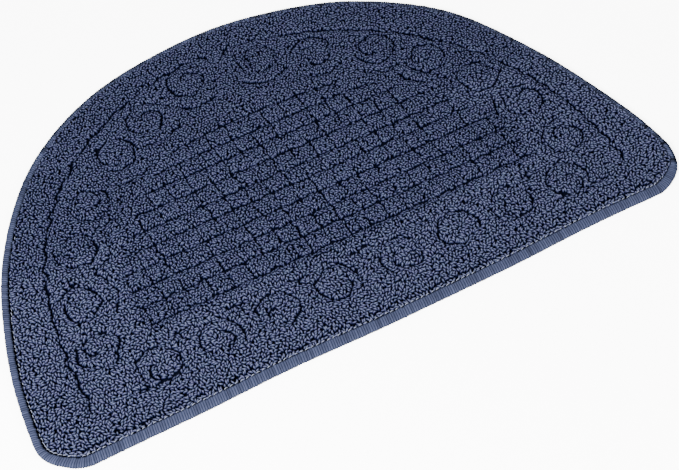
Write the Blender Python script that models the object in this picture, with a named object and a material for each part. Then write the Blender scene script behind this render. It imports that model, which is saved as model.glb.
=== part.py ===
"""Half moon doormat: one slab of loop pile carpet with a carved relief, and a serged yarn binding.

The mesh is in metres, +Z up. The plan is worked out in millimetres, with x across and y up from the
straight edge, and is then moved so that the origin is on the floor under the middle of the mat.
The straight edge runs along X at the front (-Y), and the arch is at the back (+Y).
"""

import bmesh
import bpy
import numpy as np
from math import ceil, cos, hypot, pi, radians, sin
from mathutils import Vector
from mathutils.geometry import delaunay_2d_cdt

MM = 0.001

# Outline: a straight front edge, and a chain of tangent arcs from its end round to the top of the arch
HALF_BASE = 355.4
OUTLINE_ARCS = (
    # radius, sweep in degrees, points
    (53.4, 94.6, 10),
    (728.5, 22.9, 10),
    (316.8, 39.8, 8),
    (440.2, 22.7, 6),
)
BASE_POINTS = 10
FRONT_BOW = 2.2
EDGE_WAVES = (
    # size in mm, waves round the mat, phase in degrees
    (0.7, 0, 90),
    (0.9, 1, -127),
    (0.7, 2, -31),
    (0.5, 3, -19),
    (0.8, 6, -5),
    (0.7, 9, 20),
    (0.5, 16, 140),
)

# Heights above the floor
PILE_TOP = 9.0
GROOVE_DEPTH = 3.0
COLUMN_DEPTH = 2.2
GROOVE_HALF = 3.2

# Binding: how far the yarn reaches in over the edge, at the front and elsewhere
FLANGE_FRONT = 10.5
FLANGE_ARCH = 8.0
GAP = 0.3
MERGE = 0.05

# Middle line of the woven-in pattern: it leans a little, as the cloth was cut slightly askew
AXIS_AT_BASE = 16.9
AXIS_LEAN = 0.0315
ROW_TURN = 0.0105

# Block field
BLOCK = 25.2
COLUMN_START = 8.3
COLUMNS_EACH_WAY = 11
FIELD_ROWS = (
    # height, half length, how far the ends droop
    (127.5, 246, 0),
    (154.0, 248, 0),
    (179.0, 246, 0),
    (204.5, 245, 0),
    (230.0, 226, 0),
    (253.5, 211, 0),
    (279.0, 194, 0),
    (305.0, 169, 0),
    (329.5, 147, 2),
    (357.0, 112, 8),
)
TOP_TICK = 17.0
TOP_TICK_REACH = 72.0

# Scroll border
SCROLL_RADIUS = 26.0
SCROLL_HOOK = 8.0
SCROLL_TURN = 440.0
SCROLL_POINTS = 16
SCROLL_CLOSING = 3.2
BASE_SCROLLS = 4
BASE_SCROLL_FIRST = 41.5
BASE_SCROLL_PITCH = 73.5
BASE_SCROLL_HEIGHT = 73.0
BASE_SCROLL_STARTS = {1: -35.0, -1: 215.0}
ARCH_SCROLLS = (
    # x, y, start in degrees, way round, scallop in degrees and its radius (None where the border has none)
    (51, 438, 135, 1, -95, 44),
    (116, 410, 165, -1, -97, 42),
    (186, 375, 175, 1, -112, 42),
    (233, 328, 150, 1, -125, 42),
    (274, 267, -10, -1, -150, 35),
    (302, 202, 60, 1, 180, 40),
    (310, 129, 75, 1, None, None),
    (-42, 447, 40, 1, -108, 46),
    (-112, 416, 30, 1, -77, 42),
    (-169, 383, 235, 1, -85, 48),
    (-227, 328, 30, -1, -62, 40),
    (-268, 272, 160, 1, -35, 42),
    (-295, 196, 160, -1, 0, 45),
    (-299, 130, 150, 1, None, None),
)
SCALLOP_HALF = 42.0
SCALLOP_POINTS = 8
NOTCH_HEIGHT = 103.0
NOTCH_HALF = 12.0
NOTCH_TICK = 8.0
FOOT_HEIGHT = 52.0
FOOT_DASH = (240.0, 305.0)

# Outer line of the border: a rounded arch on the same middle line, open at the top
ARCH_LINE_SIDES = {
    # half width, rise, and the two powers of the curve
    1: (347.0, 399.0, 2.22, 1.78),
    -1: (341.5, 402.0, 2.5, 2.0),
}
ARCH_LINE_MIDDLE = 5.5
ARCH_LINE_FOOT = 55.0
ARCH_LINE_SPRING = 75.0
ARCH_LINE_GAP = 11.0
ARCH_LINE_POINTS = 20
ARCH_LINE_CURL = (7.0, 9.0)

NAVY = (0.035, 0.048, 0.105, 1.0)
SLATE = (0.085, 0.105, 0.185, 1.0)


def half_outline():
    """Points of the right half, from the middle of the front edge to the top of the arch."""
    points = [(HALF_BASE * i / BASE_POINTS, 0.0) for i in range(BASE_POINTS + 1)]
    x, y, heading = HALF_BASE, 0.0, 0.0
    for radius, sweep, count in OUTLINE_ARCS:
        turn = radians(sweep)
        middle_x = x - radius * sin(heading)
        middle_y = y + radius * cos(heading)
        for i in range(1, count + 1):
            way = heading + turn * i / count
            points.append((middle_x + radius * sin(way), middle_y - radius * cos(way)))
        x, y = points[-1]
        heading += turn
    return points


def wavy(points, normals):
    """The outline as cut and sewn by hand: the front bows out a little, and the edge wanders."""
    moved = []
    for i, ((x, y), (nx, ny)) in enumerate(zip(points, normals)):
        share = i / len(points)
        out = sum(size * sin(2 * pi * waves * share + radians(phase)) for size, waves, phase in EDGE_WAVES)
        if y == 0:
            out += FRONT_BOW * (cos(pi * x / HALF_BASE) + 1) / 2
        moved.append((x - nx * out, y - ny * out))
    return moved


def inward_normals(points):
    """Unit normals that point into the mat, for a closed outline that runs anticlockwise."""
    normals = []
    for i in range(len(points)):
        ax, ay = points[i - 1]
        bx, by = points[(i + 1) % len(points)]
        length = hypot(bx - ax, by - ay)
        normals.append((-(by - ay) / length, (bx - ax) / length))
    return normals


def make_outline():
    right = half_outline()
    left = [(-x, y) for x, y in reversed(right[1:-1])]
    points = right[:-1] + [(0.0, right[-1][1])] + left
    points = wavy(points, inward_normals(points))
    return points, inward_normals(points)


def flange_widths(normals):
    """The binding is widest along the front, where it was sewn flat."""
    return [FLANGE_ARCH + (FLANGE_FRONT - FLANGE_ARCH) * max(0.0, ny) ** 2 for _, ny in normals]


def binding_section(flange):
    """(distance in from the edge, height) round the binding: its outer face, then its inner face."""
    return [
        (flange, 0.0),
        (2.6, 0.0),
        (0.7, 0.9),
        (0.0, 2.5),
        (0.4, 4.2),
        (1.7, 5.3),
        (4.6, 5.8),
        (flange, 5.3),
        (flange, 4.4),
        (2.5, 4.4),
        (1.4, 3.4),
        (1.4, 2.0),
        (2.5, 1.1),
        (flange, 1.1),
    ]


def rim_section(flange):
    """(distance in from the edge, height) up the mat's rim, from the floor to the pile's top."""
    inner = flange + GAP
    return [
        (inner, 0.0),
        (inner, 1.4),
        (2.8, 1.4),
        (1.8, 2.3),
        (1.8, 3.3),
        (2.8, 4.1),
        (inner, 4.1),
        (inner + 1.4, 6.6),
        (inner + 4.2, 8.2),
        (inner + 8.0, PILE_TOP),
    ]


def place_ring(outline, normals, offsets):
    """The outline moved inward by an own distance at each of its points."""
    return [(x + nx * d, y + ny * d) for (x, y), (nx, ny), d in zip(outline, normals, offsets)]


def pattern_point(u, v):
    """A point of the woven-in pattern (u across, v up) in the mat's plan."""
    return AXIS_AT_BASE - AXIS_LEAN * v + u, v - ROW_TURN * u


def arc_points(x, y, radius, start, end, count):
    steps = [radians(start + (end - start) * i / count) for i in range(count + 1)]
    return [(x + radius * cos(a), y + radius * sin(a)) for a in steps]


def scroll(x, y, start, way):
    """A curl: a round arch whose foot runs on into a hook in its middle."""
    points = []
    for i in range(SCROLL_POINTS + 1):
        share = i / SCROLL_POINTS
        angle = radians(start + way * SCROLL_TURN * share)
        radius = SCROLL_HOOK + (SCROLL_RADIUS - SCROLL_HOOK) * (1 - share**SCROLL_CLOSING)
        points.append((x + radius * cos(angle), y + radius * sin(angle)))
    return points


def field_lines():
    """The block field: long row grooves with shorter, shallower column grooves between them."""
    lines = []
    for v, half, droop in FIELD_ROWS:
        count = 2 * ceil(half / BLOCK)
        steps = [half * (2 * i / count - 1) for i in range(count + 1)]
        row = [pattern_point(u, v - droop * (u / half) ** 2) for u in steps]
        lines.append((row, GROOVE_DEPTH))
    columns = [COLUMN_START + BLOCK * k for k in range(-COLUMNS_EACH_WAY, COLUMNS_EACH_WAY)]
    for (low, low_half, _), (high, high_half, droop) in zip(FIELD_ROWS, FIELD_ROWS[1:]):
        for u in columns:
            if abs(u) < min(low_half, high_half):
                top = high - droop * (u / high_half) ** 2
                lines.append(([pattern_point(u, low), pattern_point(u, top)], COLUMN_DEPTH))
    v, half, droop = FIELD_ROWS[-1]
    for u in columns:
        if abs(u) < TOP_TICK_REACH:
            foot = v - droop * (u / half) ** 2
            lines.append(([pattern_point(u, foot), pattern_point(u, foot + TOP_TICK)], COLUMN_DEPTH))
    return lines


def base_border_lines():
    """Pairs of curls along the front, with short notches above the gaps between them."""
    lines = []
    for k in range(BASE_SCROLLS):
        u = BASE_SCROLL_FIRST + BASE_SCROLL_PITCH * k
        for side in (-1, 1):
            way = side * (1 if k % 2 else -1)
            x, y = pattern_point(side * u, BASE_SCROLL_HEIGHT)
            lines.append((scroll(x, y, BASE_SCROLL_STARTS[way], way), GROOVE_DEPTH))
    for k in range(-BASE_SCROLLS + 1, BASE_SCROLLS):
        side = (k > 0) - (k < 0)
        u = BASE_SCROLL_PITCH * k + side * (BASE_SCROLL_FIRST - BASE_SCROLL_PITCH / 2)
        dash = [pattern_point(u + s * NOTCH_HALF, NOTCH_HEIGHT) for s in (-1, 0, 1)]
        tick = [dash[1], pattern_point(u, NOTCH_HEIGHT - NOTCH_TICK)]
        lines += [(dash, GROOVE_DEPTH), (tick, GROOVE_DEPTH)]
    for side in (-1, 1):
        foot = [pattern_point(side * u, FOOT_HEIGHT) for u in FOOT_DASH]
        lines.append((foot, COLUMN_DEPTH))
    return lines


def arch_border_lines():
    """Curls up both sides and round the arch, each with a scallop of the border's inner edge."""
    lines = []
    for x, y, start, way, scallop, radius in ARCH_SCROLLS:
        lines.append((scroll(x, y, start, way), GROOVE_DEPTH))
        if scallop is not None:
            ends = scallop - SCALLOP_HALF, scallop + SCALLOP_HALF
            lines.append((arc_points(x, y, radius, *ends, SCALLOP_POINTS), GROOVE_DEPTH))
    return lines


def arch_line(side):
    """One half of the border's outer line, from its foot to its curled end near the top."""
    half, rise, p, q = ARCH_LINE_SIDES[side]
    points = [(ARCH_LINE_MIDDLE + side * half, ARCH_LINE_FOOT)]
    for i in range(ARCH_LINE_POINTS + 1):
        share = sin(pi / 2 * i / ARCH_LINE_POINTS)
        across = half * (1 - share**p) ** (1 / q)
        if across < ARCH_LINE_GAP:
            break
        points.append((ARCH_LINE_MIDDLE + side * across, ARCH_LINE_SPRING + rise * share))
    x, y = points[-1]
    across, down = ARCH_LINE_CURL
    points.append((x - side * across, y - down))
    return points


def relief_lines():
    """Every groove's centre line as (points, depth)."""
    sides = [(arch_line(side), GROOVE_DEPTH) for side in (-1, 1)]
    return field_lines() + base_border_lines() + arch_border_lines() + sides


def beside(points, distance):
    """An open line moved sideways, to its left for a positive distance."""
    moved = []
    for i, (x, y) in enumerate(points):
        ax, ay = points[max(i - 1, 0)]
        bx, by = points[min(i + 1, len(points) - 1)]
        length = hypot(bx - ax, by - ay)
        moved.append((x - (by - ay) / length * distance, y + (bx - ax) / length * distance))
    return moved


def beyond(before, end, distance):
    """The point past a line's end, where its groove has run out."""
    (ax, ay), (bx, by) = before, end
    length = hypot(bx - ax, by - ay)
    return bx + (bx - ax) / length * distance, by + (by - ay) / length * distance


def groove_rim(points):
    """The closed line round a groove, where it meets the pile's top."""
    tail = beyond(points[-2], points[-1], GROOVE_HALF)
    head = beyond(points[1], points[0], GROOVE_HALF)
    left = beside(points, GROOVE_HALF)
    right = beside(points, -GROOVE_HALF)
    return left + [tail] + right[::-1] + [head]


def groove_depths(places, lines):
    """How deep the nearest groove is at each place: deepest on its centre line, nothing at its sides."""
    places = np.array(places)
    found = np.zeros(len(places))
    for points, depth in lines:
        start = np.array(points[:-1])
        run = np.array(points[1:]) - start
        offset = places[:, None] - start[None]
        along = np.clip((offset * run).sum(2) / (run * run).sum(1), 0, 1)
        away = np.linalg.norm(offset - along[..., None] * run, axis=2).min(1)
        found = np.maximum(found, depth * np.clip(1 - away / GROOVE_HALF, 0, 1))
    return found


def holds(ring, place):
    """Whether a closed outline has the place inside it."""
    inside = False
    for (ax, ay), (bx, by) in zip(ring, ring[1:] + ring[:1]):
        if (ay > place.y) == (by > place.y):
            continue
        if place.x < ax + (bx - ax) * (place.y - ay) / (by - ay):
            inside = not inside
    return inside


def top_face(ring, lines):
    """Triangles of the pile's top inside a ring, with every groove's centre and rim as edges."""
    corners = [Vector(p) for p in ring]
    edges = [(i, (i + 1) % len(ring)) for i in range(len(ring))]
    for points, _ in lines:
        first = len(corners)
        corners += [Vector(p) for p in points]
        edges += [(i, i + 1) for i in range(first, len(corners) - 1)]
        rim = groove_rim(points)
        first = len(corners)
        corners += [Vector(p) for p in rim]
        edges += [(first + i, first + (i + 1) % len(rim)) for i in range(len(rim))]
    places, _, faces, sources, _, _ = delaunay_2d_cdt(corners, edges, [], 1, MERGE, True)
    depths = groove_depths([tuple(p) for p in places], lines)
    on_ring = {}
    for index, ids in enumerate(sources):
        for i in ids:
            if i < len(ring):
                on_ring[i] = index
    border = set(on_ring.values())
    kept = []
    for face in faces:
        middle = sum((places[i] for i in face), Vector((0, 0))) / 3
        if not border.issuperset(face) or holds(ring, middle):
            kept.append(face)
    return places, kept, depths, on_ring


def new_object(name, mesh, colour, roughness):
    material = bpy.data.materials.new(name)
    material.use_nodes = True
    shader = material.node_tree.nodes["Principled BSDF"]
    shader.inputs["Base Color"].default_value = colour
    shader.inputs["Roughness"].default_value = roughness
    shader.inputs["Metallic"].default_value = 0.0
    mesh.materials.append(material)
    made = bpy.data.objects.new(name, mesh)
    bpy.context.scene.collection.objects.link(made)
    return made


def finish_mesh(bm, name):
    bmesh.ops.recalc_face_normals(bm, faces=bm.faces)
    mesh = bpy.data.meshes.new(name)
    bm.to_mesh(mesh)
    bm.free()
    return mesh


def bridge(bm, low, high):
    count = len(low)
    for i in range(count):
        j = (i + 1) % count
        bm.faces.new((low[i], low[j], high[j], high[i]))


def make_mat(outline, normals, flanges, place):
    """The carpet: a flat underside, a thin rim inside the binding, and the carved pile above."""
    bm = bmesh.new()
    rings = []
    for row in zip(*[rim_section(flange) for flange in flanges]):
        plan = place_ring(outline, normals, [d for d, _ in row])
        rings.append([bm.verts.new(place(x, y, row[0][1])) for x, y in plan])
    for low, high in zip(rings, rings[1:]):
        bridge(bm, low, high)
    bm.faces.new(list(reversed(rings[0])))
    places, faces, depths, on_ring = top_face(plan, relief_lines())
    known = {index: rings[-1][i] for i, index in on_ring.items()}
    verts = [
        known.get(i) or bm.verts.new(place(p.x, p.y, PILE_TOP - depth))
        for i, (p, depth) in enumerate(zip(places, depths))
    ]
    for face in faces:
        bm.faces.new([verts[i] for i in face])
    return new_object("mat", finish_mesh(bm, "mat"), NAVY, 0.95)


def make_binding(outline, normals, flanges, place):
    """The serged edging: a C-shaped ring of yarn that is open towards the carpet."""
    bm = bmesh.new()
    rings = []
    for row in zip(*[binding_section(flange) for flange in flanges]):
        plan = place_ring(outline, normals, [d for d, _ in row])
        rings.append([bm.verts.new(place(x, y, row[0][1])) for x, y in plan])
    for i, ring in enumerate(rings):
        bridge(bm, ring, rings[(i + 1) % len(rings)])
    mesh = finish_mesh(bm, "binding")
    mesh.shade_smooth()
    return new_object("binding", mesh, SLATE, 0.8)


def main():
    for old in list(bpy.data.objects):
        bpy.data.objects.remove(old, do_unlink=True)
    outline, normals = make_outline()
    flanges = flange_widths(normals)
    middle_x = (min(x for x, _ in outline) + max(x for x, _ in outline)) / 2
    middle_y = (min(y for _, y in outline) + max(y for _, y in outline)) / 2

    def place(x, y, z):
        return Vector(((x - middle_x) * MM, (y - middle_y) * MM, z * MM))

    make_mat(outline, normals, flanges, place)
    make_binding(outline, normals, flanges, place)


main()
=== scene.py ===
"""Half moon doormat: the looped pile, the carved pattern, the serged edge and its stitches."""

from math import ceil, cos, hypot, pi, radians, sin

import bpy
import numpy as np
from mathutils import Matrix, Vector
from mathutils.geometry import delaunay_2d_cdt


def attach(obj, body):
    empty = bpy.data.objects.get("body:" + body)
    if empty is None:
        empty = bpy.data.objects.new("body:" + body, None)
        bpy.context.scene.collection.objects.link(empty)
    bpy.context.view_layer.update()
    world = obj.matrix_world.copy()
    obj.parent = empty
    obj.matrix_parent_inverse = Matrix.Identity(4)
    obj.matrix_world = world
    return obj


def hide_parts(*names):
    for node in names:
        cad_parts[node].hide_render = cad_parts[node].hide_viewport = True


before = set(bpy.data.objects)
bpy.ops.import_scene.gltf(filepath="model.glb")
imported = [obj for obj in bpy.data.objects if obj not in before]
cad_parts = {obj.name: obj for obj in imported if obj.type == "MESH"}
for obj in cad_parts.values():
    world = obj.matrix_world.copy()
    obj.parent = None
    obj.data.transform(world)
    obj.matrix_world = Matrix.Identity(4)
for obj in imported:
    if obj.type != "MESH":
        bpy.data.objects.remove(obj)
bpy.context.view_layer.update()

MM = 0.001
rng = np.random.default_rng(41)

# The camera that took the photograph, worked out from the mat's outline in it
PHOTO_WIDTH = 679
FOCAL_PIXELS = 1686.8746
SENSOR_WIDTH = 36
CAMERA_EYE = (-0.47898, -0.963, 1.5463)
CAMERA_RIGHT = (0.879328, -0.472551, -0.058969)
CAMERA_DOWN = (-0.405887, -0.678932, -0.611806)
CAMERA_AHEAD = (0.249073, 0.561913, -0.788807)

# Light and floor
LIGHTS = (
    # name, place, size, power
    ("key", (-1.5, -1.1, 1.3), 0.6, 282),
    ("fill", (1.5, -1.6, 1.4), 1.0, 100),
)
WORLD_STRENGTH = 1.15
FLOOR_HALF = 6.0
FLOOR_DROP = 0.0004
FLOOR_GREY = 0.93
FLOOR_GLOW = 6.0

# Yarn colours, linear: the pile from its bottom to its tips, as painted shade deepening towards the loops'
# roots; the edging, the ground and the stitches
DEEP = (0.0003, 0.0006, 0.0028)
MID = (0.0019, 0.0028, 0.011)
HIGH = (0.0184, 0.021, 0.0418)
TIP = (0.0578, 0.0635, 0.1035)
YARN = (0.0265, 0.0298, 0.0535)
# The edging's lower and deeper tones are painted shade between the ribs, along the lip, underneath and at
# the back
YARN_LOW = (0.014, 0.018, 0.035)
YARN_DEEP = (0.0045, 0.0058, 0.0115)
# The ground is near black: painted shade where it shows between the loops
GROUND_LOW = (0.0004, 0.0006, 0.0016)
GROUND_HIGH = (0.0014, 0.0019, 0.005)
STITCH_LOW = (0.06, 0.066, 0.092)
STITCH_HIGH = (0.125, 0.137, 0.18)

# Outline, in mm: a front edge, and a chain of tangent arcs from its end round to the top of the arch
HALF_BASE = 355.4
OUTLINE_ARCS = (
    # radius, sweep in degrees, points
    (53.4, 94.6, 10),
    (728.5, 22.9, 10),
    (316.8, 39.8, 8),
    (440.2, 22.7, 6),
)
BASE_POINTS = 10
FRONT_BOW = 2.2
EDGE_WAVES = (
    # size in mm, waves round the mat, phase in degrees
    (0.7, 0, 90),
    (0.9, 1, -127),
    (0.7, 2, -31),
    (0.5, 3, -19),
    (0.8, 6, -5),
    (0.7, 9, 20),
    (0.5, 16, 140),
)
EDGE_SPACING = 2.0
SPLINE_CUTS = 8
NEAREST_BATCH = 2000
FLANGE_FRONT = 10.5
FLANGE_ARCH = 8.0
# How much of the edge's outer side faces the light and the camera, and what it gains by facing left or front
SHOWN = 0.3
SHOWN_LEFT = 0.66
SHOWN_FRONT = 0.75

# Middle line of the woven-in pattern
AXIS_AT_BASE = 16.9
AXIS_LEAN = 0.0315
ROW_TURN = 0.0105

# Block field
BLOCK = 25.2
COLUMN_START = 8.3
COLUMNS_EACH_WAY = 11
FIELD_ROWS = (
    # height, half length, how far the ends droop
    (127.5, 246, 0),
    (154.0, 248, 0),
    (179.0, 246, 0),
    (204.5, 245, 0),
    (230.0, 226, 0),
    (253.5, 211, 0),
    (279.0, 194, 0),
    (305.0, 169, 0),
    (329.5, 147, 2),
    (357.0, 112, 8),
)
TOP_TICK = 17.0
TOP_TICK_REACH = 72.0
# The loops are finer in the field and this far round it, and everywhere beyond this height
FIELD_MARGIN = 8.0
FINE_FROM = 260.0

# Scroll border
SCROLL_RADIUS = 26.0
SCROLL_HOOK = 8.0
SCROLL_TURN = 440.0
SCROLL_POINTS = 32
SCROLL_CLOSING = 3.2
BASE_SCROLLS = 4
BASE_SCROLL_FIRST = 41.5
BASE_SCROLL_PITCH = 73.5
BASE_SCROLL_HEIGHT = 73.0
BASE_SCROLL_STARTS = {1: -35.0, -1: 215.0}
ARCH_SCROLLS = (
    # x, y, start in degrees, way round, scallop in degrees and its radius (None where the border has none)
    (51, 438, 135, 1, -95, 44),
    (116, 410, 165, -1, -97, 42),
    (186, 375, 175, 1, -112, 42),
    (233, 328, 150, 1, -125, 42),
    (274, 267, -10, -1, -150, 35),
    (302, 202, 60, 1, 180, 40),
    (310, 129, 75, 1, None, None),
    (-42, 447, 40, 1, -108, 46),
    (-112, 416, 30, 1, -77, 42),
    (-169, 383, 235, 1, -85, 48),
    (-227, 328, 30, -1, -62, 40),
    (-268, 272, 160, 1, -35, 42),
    (-295, 196, 160, -1, 0, 45),
    (-299, 130, 150, 1, None, None),
)
SCALLOP_HALF = 42.0
SCALLOP_POINTS = 12
NOTCH_HEIGHT = 103.0
NOTCH_HALF = 12.0
NOTCH_TICK = 8.0
FOOT_HEIGHT = 52.0
FOOT_DASH = (240.0, 305.0)
ARCH_LINE_SIDES = {
    # half width, rise, and the two powers of the curve
    1: (347.0, 399.0, 2.22, 1.78),
    -1: (341.5, 402.0, 2.5, 2.0),
}
ARCH_LINE_MIDDLE = 5.5
ARCH_LINE_FOOT = 55.0
ARCH_LINE_SPRING = 75.0
ARCH_LINE_GAP = 11.0
ARCH_LINE_POINTS = 40
ARCH_LINE_CURL = (7.0, 9.0)

# Pile: how the loops are placed
LOOP_KINDS = {
    # pitch, least and most half length, least and most half thickness, in mm
    "fine": (4.15, (1.15, 2.8), (0.97, 1.17)),
    "coarse": (4.45, (1.3, 3.1), (1.08, 1.3)),
}
ROW_SPACING = 0.866
PLACE_JITTER = 0.3
ROOM_TO_START = 1.2
ROOM_TO_STAY = 0.9
GROOVE_OVERLAP = 0.2
RIM_GAP = 0.6
SETTLE_STEPS = 36
SETTLE_PACE = 0.4
LONGEST_PUSH = 2
# Neighbours are looked for in a table of square cells, with room for so many round ends each
CELL = 3.05
CELL_SLOTS = 6
CELL_BORDER = 6
LEAST_APART = 0.2
PILE_PIECES = 6
# How much further the pile spreads over the edging along the back
PILE_OVER = 4.0

# Pile: the form of one loop, at five places along it
LOOP_ALONG = np.array([-1.0, -0.82, 0.0, 0.82, 1.0])
LOOP_HIGH = np.array([0.0, 0.93, 1.0, 0.93, 0.0])
LOOP_FAT = np.array([0.9, 1.0, 1.0, 1.0, 0.9])
LOOP_TILT = np.radians([90, 42, 0, -42, -90])
LOOP_FOOT = 3.7
LOOP_LOWEST = 1.6
LOOP_LEAN = 0.35
LOOP_BEND = (0.3, 1.1)
BEND_MIDDLE = 0.4
LOOP_SWELL = 1.1
LOOP_SECTION = (
    # across and up, in shares of the yarn's thickness: an arch that is open below
    (-1.0, -0.6),
    (-0.74, 0.6),
    (0.0, 1.0),
    (0.74, 0.6),
    (1.0, -0.6),
)

# Pile: the grooves, on a grid of 1 mm
GRID_MARGIN = 8
RIM_STEP = 4.0
GROOVE_KINDS = {
    # half width, how far it closes up where it is broken, and how far it wanders, in mm
    "row": (0.42, 0.15, 0.7),
    "column": (0.15, 1.1, 0.9),
    "border": (0.4, 1.0, 1.0),
    "arch": (0.6, 0.3, 1.1),
}
GROOVE_REACH = 7.0
GROOVE_UNEVEN = 0.3
UNEVEN_LENGTH = 40
CLOSING_LENGTH = 70
CLOSING_FROM = 0.35
WANDER_LENGTH = 34
WANDER_ROOM = 4
DIP = 2.6
COLUMN_DIP = 2.3
DIP_WIDTH = 3.2

# Pile: how high the loops stand
PILE_TOP = 9.0
TOP_DROP = 0.15
TOP_SPREAD = 0.22
TOP_CLUSTER = 0.12
CLUSTER_LENGTH = 15
CLUSTER_WAVES = 12
HIGHEST_OVER = 0.4
LOWEST_TOP = 5.2
IN_GROOVE = 0.5
GROOVE_TOP = 6.5
GROOVE_RISE = 0.5
FRONT_RIM_WIDTH = 5.2
FRONT_RIM_TOP = 6.8
FRONT_RIM_SPREAD = 0.2
CREVICE_DEPTH = 3.0
CREVICE_PLACE = 6.0
CREVICE_HALF = 0.9
ARCH_RIM_TOP = 7.2
ARCH_RIM_RISE = 0.6

# Pile: how far up the ramp of colours each loop reaches, lowered as painted shade beside and in the grooves
# and over the finer pile
LIT = 0.99
LIT_CLUSTER = 0.006
LIT_IN_GROOVE = 0.8
SHADE_BY_GROOVE = 0.05
SHADE_FROM = 1.0
SHADE_WIDTH = 1.5
SHADE_FINE = 0.015
CROWN_DEPTH = 2.2

# Ground
GROUND_SECTION = (
    # distance in, height, whether it is measured from the binding's inner side
    (0.3, 0.0, 1),
    (0.3, 1.4, 1),
    (2.8, 1.4, 0),
    (1.8, 2.3, 0),
    (1.8, 3.3, 0),
    (2.8, 4.0, 0),
)
GROUND_SPACING = 6.0
GROUND_MESH = 25
GROUND_REACH = 401
GROUND_DEPTH = 520

# Edging
EDGING_SECTION = (
    # measured from, distance in, height, way out across and up, share of the rib, painted shade, painted
    # shade at the back
    ("flange", 0.15, 0.0, 0, -1, 0.0, 1.0, 0),
    ("edge", 2.6, 0.12, 0.3, -0.9, 0.25, 1.0, 0),
    ("edge", 0.9, 0.9, -0.7, -0.7, 1.0, 0.6, 0),
    ("edge", 0.3, 2.4, -1, 0, 1.0, 0.0, 1.0),
    ("edge", 0.6, 4.0, -0.8, 0.6, 1.0, 0.0, 1.0),
    ("edge", 1.7, 5.0, -0.35, 0.9, 1.0, 0.0, 1.0),
    ("edge", 3.1, 5.3, -0.1, 1, 1.0, 0.0, 0.95),
    ("edge", 4.6, 5.4, 0, 1, 1.0, 0.0, 0.12),
    ("lip", -1.0, 5.2, 0, 1, 1.0, 0.1, 0),
    ("lip", 0.1, 4.75, 0.6, 0.8, 0.8, 0.25, 0),
    ("lip", 0.6, 4.6, 1, 0, 0.0, 0.45, 0),
    ("flange", 0.6, 4.65, 1, 0, 0.0, 0.2, 0),
    ("edge", 2.5, 4.3, 0, 0, 0.0, 1.0, 0),
    ("edge", 1.45, 3.4, 0, 0, 0.0, 1.0, 0),
    ("edge", 1.45, 2.0, 0, 0, 0.0, 1.0, 0),
    ("edge", 2.5, 1.1, 0, 0, 0.0, 1.0, 0),
    ("flange", 0.1, 1.1, 0, 0, 0.0, 1.0, 0),
)
RIB_PITCH = 2.9
RIB_STEPS = 4
RIB_HEIGHT = 0.7
RIB_ROUND = 0.6
RIB_SLANT = 0.14
RIB_LOOSE = 0.12
RIB_STRAY = 0.16
RIB_UNEVEN_BACK = 1.8
LIP_STRAY = 0.3
LIP_ROOM = 0.9
RAISED_ABOVE = 4.5
LIP = 8.1
LIP_BACK = 7.4
LIP_FRONT = 2.1
LIP_RISE = 0.7
BULGE = 0.5
BULGE_FRONT = 0.3
BULGE_LEFT = 0.9
STITCH_IN = 11.3
STITCH_FRONT = 0.9
STITCH_PITCH = 6.6
STITCH_LENGTH = 4.7
STITCH_THICK = 0.55
STITCH_TAPER = 0.7
STITCH_SIDES = 5
STITCH_RINGS = 5
STITCH_SLANT = 9
STITCH_STRAY = 0.2
STITCH_SWING = 0.1
STITCH_LONG = (0.82, 1.08)
STITCH_HEIGHT = 5.0
STITCH_SHOWN = 1.4
STITCH_DIVE = 1.5


def half_outline():
    points = [(HALF_BASE * i / BASE_POINTS, 0.0) for i in range(BASE_POINTS + 1)]
    x, y, heading = HALF_BASE, 0.0, 0.0
    for radius, sweep, count in OUTLINE_ARCS:
        turn = radians(sweep)
        middle_x = x - radius * sin(heading)
        middle_y = y + radius * cos(heading)
        for i in range(1, count + 1):
            way = heading + turn * i / count
            points.append((middle_x + radius * sin(way), middle_y - radius * cos(way)))
        x, y = points[-1]
        heading += turn
    return points


def inward_normals(points):
    normals = []
    for i in range(len(points)):
        ax, ay = points[i - 1]
        bx, by = points[(i + 1) % len(points)]
        length = hypot(bx - ax, by - ay)
        normals.append((-(by - ay) / length, (bx - ax) / length))
    return normals


def wavy(points, normals):
    moved = []
    for i, ((x, y), (nx, ny)) in enumerate(zip(points, normals)):
        share = i / len(points)
        out = sum(
            size * sin(2 * pi * waves * share + radians(phase)) for size, waves, phase in EDGE_WAVES
        )
        if y == 0:
            out += FRONT_BOW * (cos(pi * x / HALF_BASE) + 1) / 2
        moved.append((x - nx * out, y - ny * out))
    return moved


def make_outline():
    right = half_outline()
    left = [(-x, y) for x, y in reversed(right[1:-1])]
    points = right[:-1] + [(0.0, right[-1][1])] + left
    return wavy(points, inward_normals(points))


def pattern_point(u, v):
    return AXIS_AT_BASE - AXIS_LEAN * v + u, v - ROW_TURN * u


def arc_points(x, y, radius, start, end, count):
    steps = [radians(start + (end - start) * i / count) for i in range(count + 1)]
    return [(x + radius * cos(a), y + radius * sin(a)) for a in steps]


def scroll(x, y, start, way):
    points = []
    for i in range(SCROLL_POINTS + 1):
        share = i / SCROLL_POINTS
        angle = radians(start + way * SCROLL_TURN * share)
        radius = SCROLL_HOOK + (SCROLL_RADIUS - SCROLL_HOOK) * (1 - share**SCROLL_CLOSING)
        points.append((x + radius * cos(angle), y + radius * sin(angle)))
    return points


def row_lines():
    lines = []
    for v, half, droop in FIELD_ROWS:
        count = 2 * ceil(half / BLOCK)
        steps = [half * (2 * i / count - 1) for i in range(count + 1)]
        lines.append([pattern_point(u, v - droop * (u / half) ** 2) for u in steps])
    return lines


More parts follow.
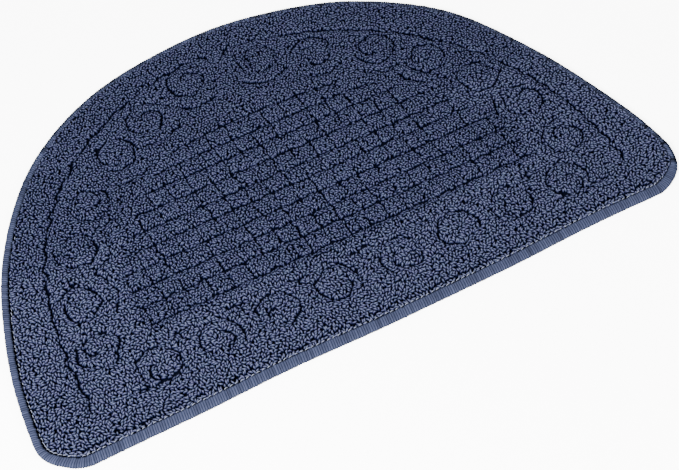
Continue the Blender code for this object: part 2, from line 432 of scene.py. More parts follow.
def column_lines():
    lines = []
    columns = [COLUMN_START + BLOCK * k for k in range(-COLUMNS_EACH_WAY, COLUMNS_EACH_WAY)]
    for (low, low_half, _), (high, high_half, droop) in zip(FIELD_ROWS, FIELD_ROWS[1:]):
        for u in columns:
            if abs(u) < min(low_half, high_half):
                top = high - droop * (u / high_half) ** 2
                lines.append([pattern_point(u, low), pattern_point(u, top)])
    v, half, droop = FIELD_ROWS[-1]
    for u in columns:
        if abs(u) < TOP_TICK_REACH:
            foot = v - droop * (u / half) ** 2
            lines.append([pattern_point(u, foot), pattern_point(u, foot + TOP_TICK)])
    return lines


def border_lines():
    lines = []
    for k in range(BASE_SCROLLS):
        u = BASE_SCROLL_FIRST + BASE_SCROLL_PITCH * k
        for side in (-1, 1):
            way = side * (1 if k % 2 else -1)
            x, y = pattern_point(side * u, BASE_SCROLL_HEIGHT)
            lines.append(scroll(x, y, BASE_SCROLL_STARTS[way], way))
    for k in range(-BASE_SCROLLS + 1, BASE_SCROLLS):
        side = (k > 0) - (k < 0)
        u = BASE_SCROLL_PITCH * k + side * (BASE_SCROLL_FIRST - BASE_SCROLL_PITCH / 2)
        dash = [pattern_point(u + s * NOTCH_HALF, NOTCH_HEIGHT) for s in (-1, 0, 1)]
        lines += [dash, [dash[1], pattern_point(u, NOTCH_HEIGHT - NOTCH_TICK)]]
    for side in (-1, 1):
        lines.append([pattern_point(side * u, FOOT_HEIGHT) for u in FOOT_DASH])
    for x, y, start, way, scallop, radius in ARCH_SCROLLS:
        lines.append(scroll(x, y, start, way))
        if scallop is not None:
            ends = scallop - SCALLOP_HALF, scallop + SCALLOP_HALF
            lines.append(arc_points(x, y, radius, *ends, SCALLOP_POINTS))
    return lines


def arch_line(side):
    half, rise, p, q = ARCH_LINE_SIDES[side]
    points = [(ARCH_LINE_MIDDLE + side * half, ARCH_LINE_FOOT)]
    for i in range(ARCH_LINE_POINTS + 1):
        share = sin(pi / 2 * i / ARCH_LINE_POINTS)
        across = half * (1 - share**p) ** (1 / q)
        if across < ARCH_LINE_GAP:
            break
        points.append((ARCH_LINE_MIDDLE + side * across, ARCH_LINE_SPRING + rise * share))
    x, y = points[-1]
    across, down = ARCH_LINE_CURL
    points.append((x - side * across, y - down))
    return points


class Edge:
    """The outline as evenly spaced points, each with its way in, its binding's width and where it faces."""

    def __init__(self, spacing):
        rough = np.array(make_outline())
        closed = np.vstack([rough, rough[:1]])
        smooth = self.rounded(closed)
        run = np.linalg.norm(np.diff(smooth, axis=0), axis=1)
        along = np.concatenate([[0], np.cumsum(run)])
        self.length = along[-1]
        self.count = int(round(self.length / spacing))
        at = np.linspace(0, self.length, self.count, endpoint=False)
        self.points = np.stack([np.interp(at, along, smooth[:, k]) for k in (0, 1)], 1)
        ahead = np.roll(self.points, -2, 0) - np.roll(self.points, 2, 0)
        ahead /= np.linalg.norm(ahead, axis=1)[:, None]
        self.along = ahead
        self.inward = np.stack([-ahead[:, 1], ahead[:, 0]], 1)
        front = np.clip(self.inward[:, 1], 0, None) ** 2
        self.flange = FLANGE_ARCH + (FLANGE_FRONT - FLANGE_ARCH) * front
        self.front = front
        across, up = self.inward.T
        self.shown = np.clip(SHOWN + SHOWN_LEFT * across + SHOWN_FRONT * up, 0, 1)

    def rounded(self, closed):
        """A smooth curve through the points: each stretch is cut up on a Catmull-Rom spline."""
        ring = closed[:-1]
        before = np.roll(ring, 1, 0)
        after = np.roll(ring, -1, 0)
        beyond = np.roll(ring, -2, 0)
        made = []
        for t in np.arange(SPLINE_CUTS) / SPLINE_CUTS:
            made.append(
                0.5
                * (
                    2 * ring
                    + (after - before) * t
                    + (2 * before - 5 * ring + 4 * after - beyond) * t**2
                    + (3 * ring - before - 3 * after + beyond) * t**3
                )
            )
        smooth = np.stack(made, 1).reshape(-1, 2)
        return np.vstack([smooth, smooth[:1]])

    def nearest(self, places):
        """(distance in from the outline, index of the nearest outline point) for each place."""
        found = np.empty(len(places))
        index = np.empty(len(places), int)
        for start in range(0, len(places), NEAREST_BATCH):
            batch = slice(start, start + NEAREST_BATCH)
            part = places[batch]
            gap = ((part[:, None] - self.points[None]) ** 2).sum(2)
            near = gap.argmin(1)
            index[batch] = near
            found[batch] = ((part - self.points[near]) * self.inward[near]).sum(1)
        return found, index


edge = Edge(EDGE_SPACING)
outline = np.array(make_outline())
MIDDLE = (outline.min(0) + outline.max(0)) / 2


def make_mesh(name, points, faces, values=None):
    """A mesh object from plan coordinates in mm, with optional point values by name."""
    mesh = bpy.data.meshes.new(name)
    points = np.array(points, np.float64)
    points[:, :2] -= MIDDLE
    points *= MM
    count = len(faces)
    if isinstance(faces, np.ndarray):
        sizes = np.full(count, faces.shape[1])
        flat = faces.reshape(-1)
    else:
        sizes = np.array([len(f) for f in faces])
        flat = np.concatenate([np.array(f) for f in faces])
    mesh.vertices.add(len(points))
    mesh.vertices.foreach_set("co", points.astype(np.float32).reshape(-1))
    mesh.loops.add(len(flat))
    mesh.loops.foreach_set("vertex_index", flat.astype(np.int32))
    mesh.polygons.add(count)
    mesh.polygons.foreach_set("loop_start", (np.cumsum(sizes) - sizes).astype(np.int32))
    mesh.polygons.foreach_set("use_smooth", np.ones(count, bool))
    mesh.update(calc_edges=True)
    for key, data in (values or {}).items():
        layer = mesh.attributes.new(key, "FLOAT", "POINT")
        layer.data.foreach_set("value", np.asarray(data, np.float32))
    made = bpy.data.objects.new(name, mesh)
    bpy.context.scene.collection.objects.link(made)
    return made


def grid_faces(rows, columns, first, wrap_rows=False, wrap_columns=False):
    """Quads over a grid of points that are numbered row by row."""
    i, j = np.meshgrid(
        np.arange(rows if wrap_rows else rows - 1),
        np.arange(columns if wrap_columns else columns - 1),
        indexing="ij",
    )
    down = (i + 1) % rows
    over = (j + 1) % columns
    quads = np.stack([i * columns + j, i * columns + over, down * columns + over, down * columns + j], -1)
    return quads.reshape(-1, 4) + first


def ripple(x, y, longest, count=7):
    """A smooth random surface, about 1 high, from a few plane waves."""
    total = np.zeros(np.shape(x))
    for _ in range(count):
        way = rng.uniform(0, 2 * pi)
        length = longest * rng.uniform(0.45, 1.0)
        swing = rng.uniform(0, 2 * pi)
        total += np.sin(2 * pi * (x * cos(way) + y * sin(way)) / length + swing)
    return total * (2 / count) ** 0.5


class Clearance:
    """On a 1 mm grid over the mat: the way in from the binding, and the way to the nearest groove's side."""

    def __init__(self, kinds):
        self.low = np.floor(edge.points.min(0)) - GRID_MARGIN
        span = np.ceil(edge.points.max(0)) + GRID_MARGIN - self.low
        self.columns, self.rows = (int(n) + 1 for n in span)
        self.x, self.y = np.meshgrid(
            self.low[0] + np.arange(self.columns), self.low[1] + np.arange(self.rows)
        )
        self.rim = self.way_in()
        # The way to any groove, and to the deep ones: all but the columns
        self.groove = np.full(self.x.shape, GROOVE_REACH)
        self.deep = np.full(self.x.shape, GROOVE_REACH)
        for kind, lines in kinds.items():
            half, closing, wander = GROOVE_KINDS[kind]
            half_here = half * (1 + GROOVE_UNEVEN * ripple(self.x, self.y, UNEVEN_LENGTH))
            closed = ripple(self.x, self.y, CLOSING_LENGTH) - CLOSING_FROM
            half_here -= closing * np.clip(closed, 0, None)
            stray = [wander * ripple(self.x, self.y, WANDER_LENGTH) for _ in ("across", "up")]
            grids = (self.groove,) if kind == "column" else (self.groove, self.deep)
            for points in lines:
                for start, end in zip(points, points[1:]):
                    self.carve(grids, start, end, half_here, stray)
        self.groove_slope = np.gradient(self.groove)
        self.rim_slope = np.gradient(self.rim)
        far = np.exp(-GROOVE_REACH / DIP_WIDTH)
        shallow = COLUMN_DIP * (np.exp(-np.clip(self.groove, 0, None) / DIP_WIDTH) - far)
        full = DIP * (np.exp(-np.clip(self.deep, 0, None) / DIP_WIDTH) - far)
        self.dip = np.maximum(shallow, full)
        self.dip_slope = np.gradient(self.dip)

    def way_in(self):
        """Distance in from where the pile starts, worked out every few mm and filled in between."""
        coarse_x = np.arange(self.low[0], self.low[0] + self.columns + RIM_STEP, RIM_STEP)
        coarse_y = np.arange(self.low[1], self.low[1] + self.rows + RIM_STEP, RIM_STEP)
        places = np.array([(x, y) for y in coarse_y for x in coarse_x])
        depth, near = edge.nearest(places)
        coarse = depth - FLANGE_FRONT + PILE_OVER * (1 - edge.shown[near]) ** 2
        coarse = coarse.reshape(len(coarse_y), len(coarse_x))
        full = np.array([np.interp(self.x[0], coarse_x, row) for row in coarse])
        return np.array([np.interp(self.y[:, 0], coarse_y, column) for column in full.T]).T

    def carve(self, grids, start, end, half, stray):
        """Note the way to one stretch of a groove on every grid, as far as it reaches."""
        (ax, ay), (bx, by) = start, end
        margin = GROOVE_REACH + WANDER_ROOM
        i0 = max(int(min(ay, by) - margin - self.low[1]), 0)
        i1 = min(int(max(ay, by) + margin - self.low[1]) + 1, self.rows)
        j0 = max(int(min(ax, bx) - margin - self.low[0]), 0)
        j1 = min(int(max(ax, bx) + margin - self.low[0]) + 1, self.columns)
        window = slice(i0, i1), slice(j0, j1)
        x = self.x[window] + stray[0][window] - ax
        y = self.y[window] + stray[1][window] - ay
        run_x, run_y = bx - ax, by - ay
        along = np.clip((x * run_x + y * run_y) / (run_x**2 + run_y**2), 0, 1)
        away = np.hypot(x - along * run_x, y - along * run_y) - half[window]
        for grid in grids:
            grid[window] = np.minimum(grid[window], away)

    def cell(self, places):
        """Row and column of the grid point that is nearest to each place."""
        j = np.clip((places[:, 0] - self.low[0]).round().astype(int), 0, self.columns - 1)
        i = np.clip((places[:, 1] - self.low[1]).round().astype(int), 0, self.rows - 1)
        return i, j

    def sunk(self, places):
        """How much lower the pile is at each place because of the grooves near it."""
        i, j = self.cell(places)
        off = places - self.low - np.stack([j, i], 1)
        slope = np.stack([self.dip_slope[1][i, j], self.dip_slope[0][i, j]], 1)
        return self.dip[i, j] + (slope * off).sum(1)

    def at(self, places):
        """(way in from the binding, its slope, way to a groove's side, its slope) at each place."""
        i, j = self.cell(places)
        off = places - self.low - np.stack([j, i], 1)
        found = []
        for grid, (slope_y, slope_x) in ((self.rim, self.rim_slope), (self.groove, self.groove_slope)):
            slope = np.stack([slope_x[i, j], slope_y[i, j]], 1)
            found += [grid[i, j] + (slope * off).sum(1), slope]
        return found


def disc_pushes(discs, radii, owner, low, columns, rows):
    """How far, and which way, each round end is pushed by the ends of its neighbours."""
    column, row = ((discs - low) // CELL).astype(int).T
    key = row * columns + column
    order = np.argsort(key, kind="stable")
    ranked = key[order]
    first = np.searchsorted(ranked, ranked, side="left")
    rank = np.arange(len(order)) - first
    table = np.full((columns * rows, CELL_SLOTS), -1)
    fits = rank < CELL_SLOTS
    table[ranked[fits], rank[fits]] = order[fits]
    pushes = np.zeros_like(discs)
    for step in (-columns - 1, -columns, -columns + 1, -1, 0, 1, columns - 1, columns, columns + 1):
        near = table[key + step]
        gap_x = discs[:, 0, None] - discs[near, 0]
        gap_y = discs[:, 1, None] - discs[near, 1]
        apart = np.hypot(gap_x, gap_y)
        over = radii[:, None] + radii[near] - apart
        over[(near < 0) | (owner[near] == owner[:, None]) | (over < 0)] = 0
        share = over / np.maximum(apart, LEAST_APART)
        pushes[:, 0] += (gap_x * share).sum(1)
        pushes[:, 1] += (gap_y * share).sum(1)
    return pushes * 0.5


def settle(centres, angles, halves, radii, clearance):
    """Loops crowd each other until they lie side by side, clear of the grooves and the binding."""
    count = len(centres)
    owner = np.tile(np.arange(count), 3)
    sizes = np.tile(radii, 3)
    low = clearance.low - 2 * CELL
    columns = int(clearance.columns / CELL) + CELL_BORDER
    rows = int(clearance.rows / CELL) + CELL_BORDER
    for _ in range(SETTLE_STEPS):
        ends = np.stack([np.cos(angles), np.sin(angles)], 1) * halves[:, None]
        discs = np.concatenate([centres + ends, centres - ends, centres])
        pushes = disc_pushes(discs, sizes, owner, low, columns, rows)
        rim, rim_slope, groove, groove_slope = clearance.at(discs)
        pushes += rim_slope * np.clip(sizes + RIM_GAP - rim, 0, LONGEST_PUSH)[:, None]
        # A loop that lies across a groove goes to the side that its middle is on
        side = np.tile(groove_slope[2 * count :], (3, 1))
        crossing = ((groove_slope * side).sum(1) < 0) & (groove < sizes)
        groove_slope[crossing] = side[crossing]
        depth = np.where(crossing, sizes + 1, sizes - groove)
        pushes += groove_slope * np.clip(depth, 0, LONGEST_PUSH)[:, None]
        head, tail, middle = pushes.reshape(3, count, 2)
        centres = centres + np.clip(SETTLE_PACE * (head + tail + middle), -1, 1)
        turn = (tail - head) * np.stack([np.sin(angles), -np.cos(angles)], 1)
        angles = angles + np.clip(SETTLE_PACE * turn.sum(1) / halves, -SETTLE_PACE, SETTLE_PACE)
    return centres, angles


def in_fine_pile(places):
    """Whether each place is in the block field or towards the arch, where the loops are finer."""
    v = places[:, 1] + ROW_TURN * (places[:, 0] - AXIS_AT_BASE)
    u = places[:, 0] - AXIS_AT_BASE + AXIS_LEAN * v
    levels = [level for level, _, _ in FIELD_ROWS]
    halves = [half + FIELD_MARGIN for _, half, _ in FIELD_ROWS]
    reach = np.interp(v, levels, halves)
    field = (np.abs(u) < reach) & (v > levels[0] - FIELD_MARGIN) & (v < levels[-1] + TOP_TICK)
    return field | (places[:, 1] > FINE_FROM)


def place_loops(clearance):
    """Middle, direction, half length and half thickness of every loop, after they have settled."""
    rooted, halves, thicks = [], [], []
    for kind, (pitch, half_range, thick_range) in LOOP_KINDS.items():
        xs = np.arange(clearance.x[0, 0], clearance.x[0, -1], pitch)
        ys = np.arange(clearance.y[0, 0], clearance.y[-1, 0], pitch * ROW_SPACING)
        places = np.array([(x + (k % 2) * pitch / 2, y) for k, y in enumerate(ys) for x in xs])
        places += rng.uniform(-PLACE_JITTER, PLACE_JITTER, places.shape) * pitch
        room = clearance.at(places)[0] > ROOM_TO_START
        places = places[room & (in_fine_pile(places) == (kind == "fine"))]
        rooted.append(places)
        halves.append(rng.uniform(*half_range, len(places)))
        thicks.append(rng.uniform(*thick_range, len(places)))
    places, half, thick = np.concatenate(rooted), np.concatenate(halves), np.concatenate(thicks)
    yaw = rng.uniform(0, pi, len(places))
    places, yaw = settle(places, yaw, half, thick, clearance)
    way_in, _, groove, _ = clearance.at(places)
    keep = (way_in > ROOM_TO_STAY) & (groove > -GROOVE_OVERLAP)
    return [values[keep] for values in (places, yaw, half, thick, way_in, groove)]


def loop_tops(clearance, places, way_in, groove, cluster):
    """How high each loop stands."""
    count = len(places)
    top = PILE_TOP - TOP_DROP + rng.normal(0, TOP_SPREAD, count) + TOP_CLUSTER * cluster
    sunk = clearance.sunk(places)
    top = np.where(groove < IN_GROOVE, GROOVE_TOP + GROOVE_RISE * groove + sunk, top)
    # Along the front the outermost loops are low, with a crevice behind them.
    # Elsewhere the pile starts at once.
    front = edge.front[edge.nearest(places)[1]]
    low_rim = np.where(way_in < FRONT_RIM_WIDTH, FRONT_RIM_TOP, PILE_TOP)
    low_rim = low_rim + rng.normal(0, FRONT_RIM_SPREAD, count)
    crevice = CREVICE_DEPTH * np.exp(-(((way_in - CREVICE_PLACE) / CREVICE_HALF) ** 2))
    at_front = np.minimum(top, low_rim) - crevice
    at_arch = np.minimum(top, ARCH_RIM_TOP + ARCH_RIM_RISE * way_in)
    top = front * at_front + (1 - front) * at_arch
    return np.clip(top, LOWEST_TOP, PILE_TOP + HIGHEST_OVER)


def pile():
    """Every loop of the pile, in a few pieces."""
    clearance = Clearance(
        {
            "row": row_lines(),
            "column": column_lines(),
            "border": border_lines(),
            "arch": [arch_line(side) for side in (-1, 1)],
        }
    )
    places, yaw, half, thick, way_in, groove = place_loops(clearance)
    count = len(places)
    cluster = ripple(places[:, 0], places[:, 1], CLUSTER_LENGTH, CLUSTER_WAVES)
    top = loop_tops(clearance, places, way_in, groove, cluster)
    lean = rng.normal(0, LOOP_LEAN, count)
    bend = rng.choice((-1, 1), count) * rng.uniform(*LOOP_BEND, count)
    tone = rng.normal(0, 1, count)

    # Painted shade: loops beside the deep grooves, in the grooves and in the finer pile reach less far up
    # the colour ramp
    deep = clearance.deep[clearance.cell(places)]
    shade = SHADE_BY_GROOVE * np.exp(-np.clip(deep - SHADE_FROM, 0, None) / SHADE_WIDTH)
    shade = shade + SHADE_FINE * in_fine_pile(places)
    lit = np.clip(LIT + LIT_CLUSTER * cluster, 0, 1) - shade
    lit = np.where(groove < IN_GROOVE, LIT_IN_GROOVE, lit)
    values = places, top, yaw, half, thick, lean, bend, tone, lit
    order = np.argsort(places[:, 0], kind="stable")
    return [
        loops_mesh(f"pile_{k + 1}", clearance, *(v[part] for v in values))
        for k, part in enumerate(np.array_split(order, PILE_PIECES))
    ]


def loops_mesh(name, clearance, places, top, yaw, half, thick, lean, bend, tone, lit):
    """Yarn loops as low flat-topped arches: five sections of five points each."""
    section = np.array(LOOP_SECTION)
    rise = top - thick - LOOP_FOOT
    along = half[:, None] * LOOP_ALONG
    high = LOOP_FOOT + rise[:, None] * LOOP_HIGH
    aside = lean[:, None] * LOOP_HIGH + bend[:, None] * (LOOP_ALONG**2 - BEND_MIDDLE)
    fat = LOOP_SWELL * thick[:, None, None] * LOOP_FAT[None, :, None]
    up = fat * section[:, 1]
    a = along[..., None] - up * np.sin(LOOP_TILT)[None, :, None]
    z = high[..., None] + up * np.cos(LOOP_TILT)[None, :, None]
    b = aside[..., None] + fat * section[:, 0]
    cy, sy = np.cos(yaw)[:, None, None], np.sin(yaw)[:, None, None]
    x = places[:, 0][:, None, None] + a * cy - b * sy
    y = places[:, 1][:, None, None] + a * sy + b * cy
    # Painted shade: the colour darkens from each loop's top down to its root
    crown_shade = np.clip((z - top[:, None, None]) / (CROWN_DEPTH * thick[:, None, None]) + 1, 0, 1)
    crown_shade *= lit[:, None, None]
    # The loops tilt with the slope beside each groove
    sunk = clearance.sunk(np.stack([x, y], -1).reshape(-1, 2)).reshape(x.shape)
    z = z - sunk * np.clip((z - LOOP_FOOT) / rise[:, None, None], 0, 1)
    points = np.stack([x, y, np.clip(z, LOOP_LOWEST, None)], -1).reshape(-1, 3)
    per = len(LOOP_ALONG) * len(section)
    quads = grid_faces(len(LOOP_ALONG), len(section), 0)
    faces = (quads[None] + (np.arange(len(places)) * per)[:, None, None]).reshape(-1, 4)
    return make_mesh(name, points, faces, {"rise": crown_shade.reshape(-1), "tone": np.repeat(tone, per)})


def ground():
    """The woven ground that the loops stand in: a thin closed sheet, held in the edging's groove."""
    coarse = Edge(GROUND_SPACING)
    rings = []
    for inset, height, past_flange in GROUND_SECTION:
        d = coarse.flange * past_flange + inset
        plan = coarse.points + coarse.inward * d[:, None]
        rings.append(np.column_stack([plan, np.full(len(plan), height)]))
    points = np.vstack(rings)
    count = coarse.count
    faces = [list(f)[::-1] for f in grid_faces(len(rings), count, 0, wrap_columns=True)]
    across = np.arange(1 - GROUND_REACH, GROUND_REACH, GROUND_MESH)
    back = np.arange(0, GROUND_DEPTH, GROUND_MESH)
    inside = np.array([(x, y) for x in across for y in back], float)
    inside = [Vector(p) for p in inside[coarse.nearest(inside)[0] > GROUND_MESH]]
    pairs = [(i, (i + 1) % count) for i in range(count)]
    for start, upward in ((0, False), (len(points) - count, True)):
        plan = points[start : start + count, :2]
        ring = [Vector(p) for p in plan]
        places, _, tris, sources, _, _ = delaunay_2d_cdt(ring + inside, pairs, [], 1, 1e-4, True)
        index = []
        for place, ids in zip(places, sources):
            on_ring = [i for i in ids if i < count]
            if on_ring:
                index.append(start + on_ring[0])
            else:
                points = np.vstack([points, [place.x, place.y, points[start, 2]]])
                index.append(len(points) - 1)
        for tri in tris:
            middle = sum((places[i] for i in tri), Vector((0, 0))) / 3
            all_on_ring = all(start <= index[i] < start + count for i in tri)
            if all_on_ring and not covered(middle, plan):
                continue
            face = [index[i] for i in tri]
            faces.append(face if upward else face[::-1])
    return make_mesh("ground", points, faces)


def covered(place, plan):
    """Whether a closed outline has the place inside it."""
    ax, ay = plan[:, 0], plan[:, 1]
    bx, by = np.roll(ax, -1), np.roll(ay, -1)
    crossing = (ay > place.y) != (by > place.y)
    at = ax + (bx - ax) * (place.y - ay) / np.where(by == ay, 1, by - ay)
    return bool((crossing & (place.x < at)).sum() % 2)


def edging():
    """Serged yarn: a ring with a rib for every turn of the yarn round the edge."""
    ring = Edge(RIB_PITCH / RIB_STEPS)
    ring = Edge(ring.length / (ring.count // RIB_STEPS * RIB_STEPS))
    ribs = ring.count // RIB_STEPS
    turn, step = np.divmod(np.arange(ring.count), RIB_STEPS)

    def by_rib(spread):
        return rng.normal(0, spread, ribs + 1)[turn]

    swell = RIB_HEIGHT * np.sin(pi * (step / RIB_STEPS)) ** RIB_ROUND
    loose = by_rib(RIB_LOOSE)
    stray = by_rib(RIB_STRAY)
    lip = LIP_BACK + (LIP - LIP_BACK) * ring.shown + LIP_FRONT * ring.front + by_rib(LIP_STRAY)
    # The left side is drawn in a little more tightly than the rest
    left = np.clip(ring.inward[:, 0], 0, 1) * (1 - ring.front)
    bulge = BULGE + BULGE_FRONT * ring.front - BULGE_LEFT * left
    starts = {
        "edge": np.zeros(ring.count),
        "flange": np.maximum(ring.flange, lip + LIP_ROOM),
        "lip": lip,
    }
    rows = []
    for start, inset, height, out_d, out_z, share, *_ in EDGING_SECTION:
        d = starts[start] + inset
        if start == "edge" and share == 1.0:
            d = d - bulge
        lift = share * (swell + loose)
        if start != "edge" and inset > 0 and height > RAISED_ABOVE:
            height = height + LIP_RISE * ring.front
        plan = ring.points + ring.inward * (d + out_d * lift)[:, None]
        plan = plan + ring.along * (RIB_SLANT * d + stray)[:, None]
        z = np.clip(height + out_z * lift, 0.0, None)
        rows.append(np.column_stack([plan, z]))
    points = np.stack(rows, 1).reshape(-1, 3)
    faces = grid_faces(ring.count, len(rows), 0, wrap_rows=True, wrap_columns=True)

    tone = by_rib(1)
    # Painted shade between the ribs, and row by row along the lip and underneath
    painted_shade = (1 - np.clip(swell / RIB_HEIGHT, 0, 1))[:, None]
    shade, shade_back = (np.array([row[k] for row in EDGING_SECTION]) for k in (-2, -1))
    dark = np.maximum(painted_shade * (1 - shade), shade)
    # Painted shade on the outer side where it faces away from the light; there the ribs' tones are also less
    # even
    away = (1 - ring.shown) ** 2
    dark = np.maximum(dark, shade_back * away[:, None])
    uneven = RIB_UNEVEN_BACK * (tone + np.roll(tone, RIB_STEPS))
    tone = tone + (uneven - tone) * away
    values = {"tone": np.repeat(tone, len(rows)), "painted_shade": dark.reshape(-1)}
    return make_mesh("edging", points, faces, values)


def stitches():
    """The lock stitch along the inner side of the edging: one short thread for each stitch."""
    ring = Edge(STITCH_PITCH)
    around = np.arange(STITCH_SIDES) * 2 * pi / STITCH_SIDES
    points, faces = [], []
    for i in range(ring.count):
        d = STITCH_IN + STITCH_FRONT * ring.front[i] + rng.normal(0, STITCH_STRAY)
        middle = ring.points[i] + ring.inward[i] * d
        slant = radians(STITCH_SLANT) + rng.normal(0, STITCH_SWING)
        ahead = ring.along[i] * cos(slant) + ring.inward[i] * sin(slant)
        beside = np.array([-ahead[1], ahead[0]])
        long = STITCH_LENGTH * rng.uniform(*STITCH_LONG)
        first = len(points)
        for k in range(STITCH_RINGS):
            t = 2 * k / (STITCH_RINGS - 1) - 1
            centre = middle + ahead * long / 2 * t
            height = STITCH_HEIGHT + STITCH_SHOWN * ring.shown[i] - STITCH_DIVE * t**4
            r = STITCH_THICK * (1.0 if abs(t) < 1 else STITCH_TAPER)
            for a in around:
                plan = centre + beside * r * cos(a)
                points.append((plan[0], plan[1], height + r * sin(a)))
        quads = grid_faces(STITCH_RINGS, STITCH_SIDES, first, wrap_columns=True)
        faces += [list(q[::-1]) for q in quads]
        faces.append([first + k for k in range(STITCH_SIDES)])
        last = first + (STITCH_RINGS - 1) * STITCH_SIDES
        faces.append([last + k for k in range(STITCH_SIDES)][::-1])
    return make_mesh("lock_stitches", points, faces)


def node(tree, kind, **settings):
    """A new node; a setting that starts with in_ is the value of an input."""
    made = tree.nodes.new(kind)
    for key, value in settings.items():
        if key.startswith("in_"):
            made.inputs[key[3:].replace("_", " ")].default_value = value
        else:
            setattr(made, key, value)
    return made


def multiply_add(tree, source, factor, added):
    """The source times a factor, plus a number or another node's output."""
    made = node(tree, "ShaderNodeMath", operation="MULTIPLY_ADD")
    tree.links.new(source, made.inputs[0])
    made.inputs[1].default_value = factor
    if isinstance(added, float):
        made.inputs[2].default_value = added
    else:
        tree.links.new(added, made.inputs[2])
    return made.outputs[0]


def scaled(tree, colour, factor):
    """A colour made lighter or darker by another node's output."""
    made = node(tree, "ShaderNodeVectorMath", operation="SCALE")
    tree.links.new(colour, made.inputs[0])
    tree.links.new(factor, made.inputs["Scale"])
    return made.outputs["Vector"]


def attribute(tree, name):
    return node(tree, "ShaderNodeAttribute", attribute_name=name).outputs["Fac"]


def new_material(name, roughness):
    material = bpy.data.materials.new(name)
    material.use_nodes = True
    tree = material.node_tree
    shader = tree.nodes["Principled BSDF"]
    shader.inputs["Roughness"].default_value = roughness
    shader.inputs["Specular IOR Level"].default_value = 0.0
    return material, tree, shader


def ramp(tree, source, stops):
    """The colour at the source's place between the stops."""
    made = node(tree, "ShaderNodeValToRGB")
    while len(made.color_ramp.elements) < len(stops):
        made.color_ramp.elements.new(0.5)
    for element, (place, colour) in zip(made.color_ramp.elements, stops):
        element.position = place
        element.color = (*colour, 1.0)
    tree.links.new(source, made.inputs["Fac"])
    return made.outputs["Color"]


def fibre_bump(tree, shader, scale, strength, distance):
    """Fine fibres of the yarn, as bump. Gives the object's own coordinates and the fibres."""
    place = node(tree, "ShaderNodeTexCoord").outputs["Object"]
    fibre = node(tree, "ShaderNodeTexNoise", in_Scale=scale, in_Detail=3.0, in_Roughness=0.7)
    tree.links.new(place, fibre.inputs["Vector"])
    bump = node(tree, "ShaderNodeBump", in_Strength=strength, in_Distance=distance)
    tree.links.new(fibre.outputs["Fac"], bump.inputs["Height"])
    tree.links.new(bump.outputs["Normal"], shader.inputs["Normal"])
    return place, fibre.outputs["Fac"]


def pile_material():
    """Yarn with painted shade that deepens down each loop to its root, with cloudy patches, single loops and
    fibres of other tones.
    """
    material, tree, shader = new_material("loop_pile", 0.92)
    place, fibre = fibre_bump(tree, shader, 1000.0, 0.6, 0.0005)
    depth = ramp(tree, attribute(tree, "rise"), [(0.3, DEEP), (0.63, MID), (0.82, HIGH), (0.97, TIP)])
    cloud = node(tree, "ShaderNodeTexNoise", in_Scale=14.0, in_Detail=2.0)
    tree.links.new(place, cloud.inputs["Vector"])
    level = multiply_add(tree, attribute(tree, "tone"), 0.06, 0.4)
    level = multiply_add(tree, cloud.outputs["Fac"], 0.3, level)
    level = multiply_add(tree, fibre, 1.0, level)
    drift = node(tree, "ShaderNodeTexNoise", in_Scale=160.0, in_Detail=1.0)
    tree.links.new(place, drift.inputs["Vector"])
    hue = node(tree, "ShaderNodeMapRange", in_To_Min=0.475, in_To_Max=0.525)
    tree.links.new(drift.outputs["Fac"], hue.inputs["Value"])
    grey = node(tree, "ShaderNodeMapRange", in_To_Min=1.25, in_To_Max=0.75)
    tree.links.new(fibre, grey.inputs["Value"])
    dyed = node(tree, "ShaderNodeHueSaturation")
    tree.links.new(scaled(tree, depth, level), dyed.inputs["Color"])
    tree.links.new(hue.outputs["Result"], dyed.inputs["Hue"])
    tree.links.new(grey.outputs["Result"], dyed.inputs["Saturation"])
    tree.links.new(dyed.outputs["Color"], shader.inputs["Base Color"])
    return material


def edging_material():
    """Yarn with painted shade between the ribs, along the lip, underneath and on the outer side away from
    the light, with a tone of its own for each rib.
    """
    material, tree, shader = new_material("serged_yarn", 0.85)
    _, fibre = fibre_bump(tree, shader, 1800.0, 0.4, 0.0003)
    stops = [(0.0, YARN), (0.55, YARN_LOW), (1.0, YARN_DEEP)]
    shade = ramp(tree, attribute(tree, "painted_shade"), stops)
    level = multiply_add(tree, attribute(tree, "tone"), 0.12, 0.82)
    level = multiply_add(tree, fibre, 0.3, level)
    tree.links.new(scaled(tree, shade, level), shader.inputs["Base Color"])
    return material


def thread_material():
    material, tree, shader = new_material("lock_stitch_thread", 0.55)
    _, fibre = fibre_bump(tree, shader, 2600.0, 0.35, 0.0002)
    shade = ramp(tree, fibre, [(0.3, STITCH_LOW), (0.7, STITCH_HIGH)])
    tree.links.new(shade, shader.inputs["Base Color"])
    return material


def ground_material():
    """Plain woven backing: two crossed sets of fine threads, near black as painted shade where it shows
    between the loops.
    """
    material, tree, shader = new_material("woven_ground", 0.9)
    place = node(tree, "ShaderNodeTexCoord").outputs["Object"]
    weave = node(tree, "ShaderNodeMath", operation="MAXIMUM")
    for k, way in enumerate(("X", "Y")):
        threads = node(
            tree,
            "ShaderNodeTexWave",
            wave_type="BANDS",
            bands_direction=way,
            in_Scale=420.0,
            in_Distortion=0.4,
            in_Detail=1.0,
        )
        tree.links.new(place, threads.inputs["Vector"])
        tree.links.new(threads.outputs["Fac"], weave.inputs[k])
    shade = ramp(tree, weave.outputs[0], [(0.0, GROUND_LOW), (1.0, GROUND_HIGH)])
    tree.links.new(shade, shader.inputs["Base Color"])
    bump = node(tree, "ShaderNodeBump", in_Strength=0.6, in_Distance=0.0004)
    tree.links.new(weave.outputs[0], bump.inputs["Height"])
    tree.links.new(bump.outputs["Normal"], shader.inputs["Normal"])
    return material


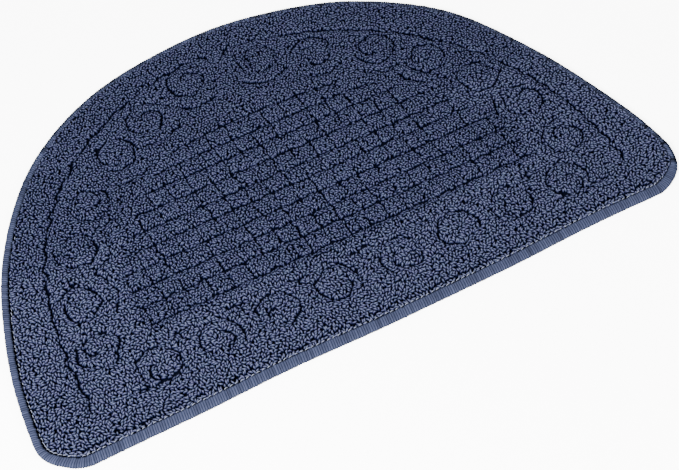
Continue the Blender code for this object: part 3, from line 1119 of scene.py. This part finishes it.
def plain_floor():
    """A pale floor that lights nothing by itself."""
    mesh = bpy.data.meshes.new("floor")
    corners = [(x * FLOOR_HALF, y * FLOOR_HALF, 0) for x, y in ((-1, -1), (1, -1), (1, 1), (-1, 1))]
    mesh.from_pydata(corners, [], [(0, 1, 2, 3)])
    floor = bpy.data.objects.new("floor", mesh)
    bpy.context.scene.collection.objects.link(floor)
    material, _, shader = new_material("floor", 1.0)
    shader.inputs["Base Color"].default_value = (FLOOR_GREY, FLOOR_GREY, FLOOR_GREY, 1)
    shader.inputs["Emission Color"].default_value = (1, 1, 1, 1)
    shader.inputs["Emission Strength"].default_value = FLOOR_GLOW
    mesh.materials.append(material)
    floor.location.z = -FLOOR_DROP
    floor.visible_diffuse = False


def area_light(name, place, size, power):
    """A square light that faces the mat's middle."""
    data = bpy.data.lights.new(name, "AREA")
    data.shape = "SQUARE"
    data.size = size
    data.energy = power
    light = bpy.data.objects.new(name, data)
    light.location = place
    light.rotation_euler = (-Vector(place)).to_track_quat("-Z", "Y").to_euler()
    bpy.context.scene.collection.objects.link(light)


def camera_and_lights():
    eye = Vector(
        (CAMERA_EYE[0] - MIDDLE[0] * MM, CAMERA_EYE[1] - MIDDLE[1] * MM, CAMERA_EYE[2])
    )
    up = [-c for c in CAMERA_DOWN]
    back = [-c for c in CAMERA_AHEAD]
    axes = Matrix((CAMERA_RIGHT, up, back)).transposed()
    data = bpy.data.cameras.new("photo_camera")
    data.sensor_fit = "HORIZONTAL"
    data.sensor_width = SENSOR_WIDTH
    data.lens = FOCAL_PIXELS / PHOTO_WIDTH * SENSOR_WIDTH
    camera = bpy.data.objects.new("photo_camera", data)
    camera.matrix_world = Matrix.Translation(eye) @ axes.to_4x4()
    bpy.context.scene.collection.objects.link(camera)
    bpy.context.scene.camera = camera

    world = bpy.data.worlds.new("studio")
    world.use_nodes = True
    background = world.node_tree.nodes["Background"]
    background.inputs["Color"].default_value = (1, 1, 1, 1)
    background.inputs["Strength"].default_value = WORLD_STRENGTH
    bpy.context.scene.world = world
    for light in LIGHTS:
        area_light(*light)


def main():
    plain_floor()
    camera_and_lights()
    sheet = ground()
    loops = pile()
    edge_ring = edging()
    thread = stitches()
    sewn = (
        (sheet, ground_material(), "mat"),
        (edge_ring, edging_material(), "binding"),
        (thread, thread_material(), "binding"),
    )
    for piece, material, name in sewn:
        piece.data.materials.append(material)
    yarn = pile_material()
    for piece in loops:
        piece.data.materials.append(yarn)
    for piece in [sheet, edge_ring, thread, *loops]:
        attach(piece, "root")
    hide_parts("mat")
    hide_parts("binding")


main()
